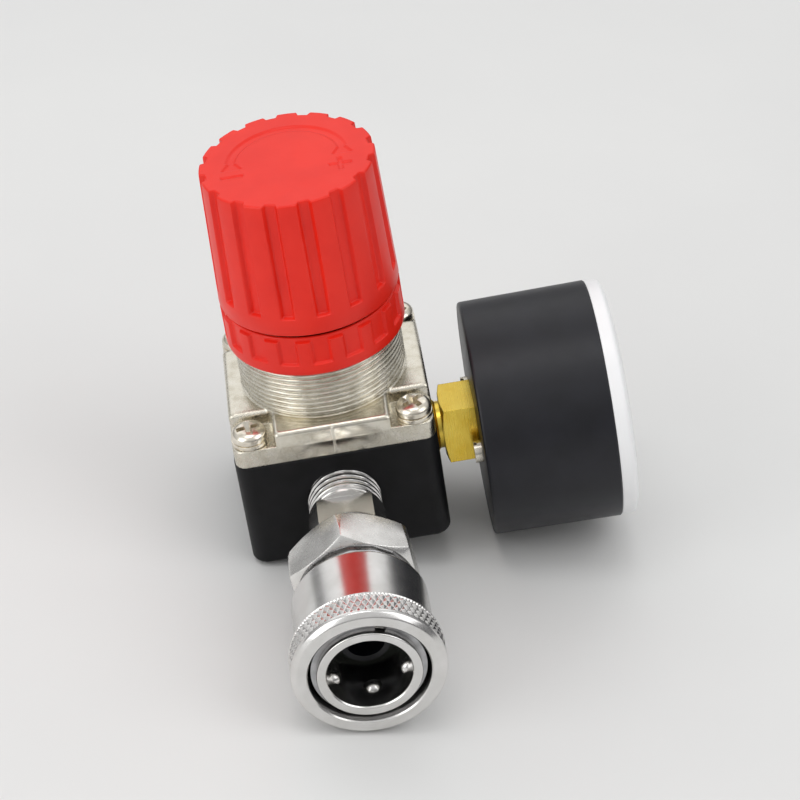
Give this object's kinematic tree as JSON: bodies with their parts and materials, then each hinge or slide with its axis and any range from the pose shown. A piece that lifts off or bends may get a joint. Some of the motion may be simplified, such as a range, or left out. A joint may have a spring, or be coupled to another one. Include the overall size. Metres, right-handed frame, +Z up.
{
  "type": "air pressure regulator",
  "caption": "Compact air pressure regulator with a fluted red adjusting knob, threaded panel neck, round dial gauge and ball-lock quick coupler outlet.",
  "frame": {"origin": "on the knob's axis at the bottom face of the body", "axes": "+Z up along the knob's axis, +X out along the gauge's axis, +Y out of the inlet port, so the coupler points to -Y"},
  "size_m": [0.0713, 0.0879, 0.0834],
  "materials": {
    "black_paint": "satin black",
    "black_plastic": "fine matte black",
    "red_plastic": "semi-gloss red",
    "nickel_plate": "bright warm nickel plate on a casting",
    "chrome": "bright plated steel",
    "bright_steel": "bright zinc plate",
    "spring_steel": "drawn spring wire",
    "brass": "machined satin brass",
    "rubber": "matte black nitrile",
    "dial_white": "matte white with a black scale",
    "clear_plastic": "clear moulded plastic"
  },
  "bodies": {
    "regulator": {"body": "black_paint", "bottom_plug": "brass", "plug_o_ring": "rubber", "valve_seat": "brass", "valve_spring": "spring_steel", "diaphragm": "rubber", "bonnet": "nickel_plate", "bonnet_screws": "bright_steel", "lock_washers": "bright_steel", "main_spring": "spring_steel", "thrust_washer": "brass", "gauge_socket": "brass", "gauge_case": "black_plastic", "case_screws": "bright_steel", "bourdon_tube": "brass", "movement_frame": "brass", "movement_link": "bright_steel", "dial": "dial_white", "dial_screws": "bright_steel", "stop_pin": "bright_steel", "gauge_window": "clear_plastic", "coupler_adapter": "chrome", "coupler_nose": "chrome", "plug_seal": "rubber", "check_spring": "spring_steel", "snap_ring": "spring_steel", "sleeve_spring": "spring_steel"},
    "knob": {"knob": "red_plastic", "adjusting_screw": "bright_steel"},
    "spring_seat": {"spring_seat": "brass"},
    "panel_nut": {"panel_nut": "red_plastic"},
    "valve": {"valve_poppet": "brass", "valve_disc": "rubber", "diaphragm_rivet": "brass", "diaphragm_plate": "spring_steel"},
    "sleeve": {"sleeve": "chrome"},
    "check_valve": {"check_valve": "black_plastic", "check_valve_seal": "rubber"},
    "sector": {"sector_gear": "brass"},
    "pointer": {"pointer": "black_plastic", "pointer_arbor": "bright_steel"},
    "ball_1": {"locking_ball_1": "chrome"},
    "ball_2": {"locking_ball_2": "chrome"},
    "ball_3": {"locking_ball_3": "chrome"},
    "ball_4": {"locking_ball_4": "chrome"},
    "ball_5": {"locking_ball_5": "chrome"},
    "ball_6": {"locking_ball_6": "chrome"}
  },
  "joints": [
    {"name": "knob_turn", "type": "hinge", "parent": "regulator", "child": "knob", "pos_m": [0, 0, 0.065], "axis": [0, 0, -1], "range_deg": [0, 1800]},
    {"name": "spring_seat_travel", "type": "slide", "parent": "regulator", "child": "spring_seat", "axis": [0, 0, -1], "range_m": [0, 0.0075], "deforming": ["main_spring"]},
    {"name": "panel_nut_travel", "type": "slide", "parent": "regulator", "child": "panel_nut", "axis": [0, 0, -1], "range_m": [0, 0.0095]},
    {"name": "valve_lift", "type": "slide", "parent": "regulator", "child": "valve", "axis": [0, 0, -1], "range_m": [0, 0.0012], "stiffness_N_per_m": 1500, "springref_m": -0.001, "deforming": ["diaphragm", "valve_spring", "main_spring"]},
    {"name": "sleeve_slide", "type": "slide", "parent": "regulator", "child": "sleeve", "axis": [0, 1, 0], "range_m": [0, 0.0028], "stiffness_N_per_m": 1500, "springref_m": -0.001, "deforming": ["sleeve_spring"]},
    {"name": "check_valve_push", "type": "slide", "parent": "regulator", "child": "check_valve", "axis": [0, 1, 0], "range_m": [0, 0.003], "stiffness_N_per_m": 800, "springref_m": -0.001, "deforming": ["check_spring"]},
    {"name": "sector_turn", "type": "hinge", "parent": "regulator", "child": "sector", "pos_m": [0.04, -0.00834, 0.00793], "axis": [1, 0, 0], "range_deg": [0, 30], "stiffness_Nm_per_rad": 0.02, "springref_deg": -5.73, "deforming": ["bourdon_tube", "movement_link"]},
    {"name": "pointer_turn", "type": "hinge", "parent": "regulator", "child": "pointer", "pos_m": [0.047, 0, 0.0113], "axis": [-1, 0, 0], "range_deg": [0, 270]},
    {"name": "ball_1_move", "type": "slide", "parent": "regulator", "child": "ball_1", "axis": [0, 0, -1], "range_m": [0, 0.00105]},
    {"name": "ball_2_move", "type": "slide", "parent": "regulator", "child": "ball_2", "axis": [0.866, 0, -0.5], "range_m": [0, 0.00105]},
    {"name": "ball_3_move", "type": "slide", "parent": "regulator", "child": "ball_3", "axis": [0.866, 0, 0.5], "range_m": [0, 0.00105]},
    {"name": "ball_4_move", "type": "slide", "parent": "regulator", "child": "ball_4", "axis": [0, 0, 1], "range_m": [0, 0.00105]},
    {"name": "ball_5_move", "type": "slide", "parent": "regulator", "child": "ball_5", "axis": [-0.866, 0, 0.5], "range_m": [0, 0.00105]},
    {"name": "ball_6_move", "type": "slide", "parent": "regulator", "child": "ball_6", "axis": [-0.866, 0, -0.5], "range_m": [0, 0.00105]}
  ],
  "couplings": [
    {"joint": "knob_turn", "follows": "spring_seat_travel", "rad_per_m": 4188.8},
    {"joint": "pointer_turn", "follows": "sector_turn", "ratio": 9},
    {"joint": "ball_1_move", "follows": "sleeve_slide", "ratio": 0.37},
    {"joint": "ball_2_move", "follows": "sleeve_slide", "ratio": 0.37},
    {"joint": "ball_3_move", "follows": "sleeve_slide", "ratio": 0.37},
    {"joint": "ball_4_move", "follows": "sleeve_slide", "ratio": 0.37},
    {"joint": "ball_5_move", "follows": "sleeve_slide", "ratio": 0.37},
    {"joint": "ball_6_move", "follows": "sleeve_slide", "ratio": 0.37}
  ]
}
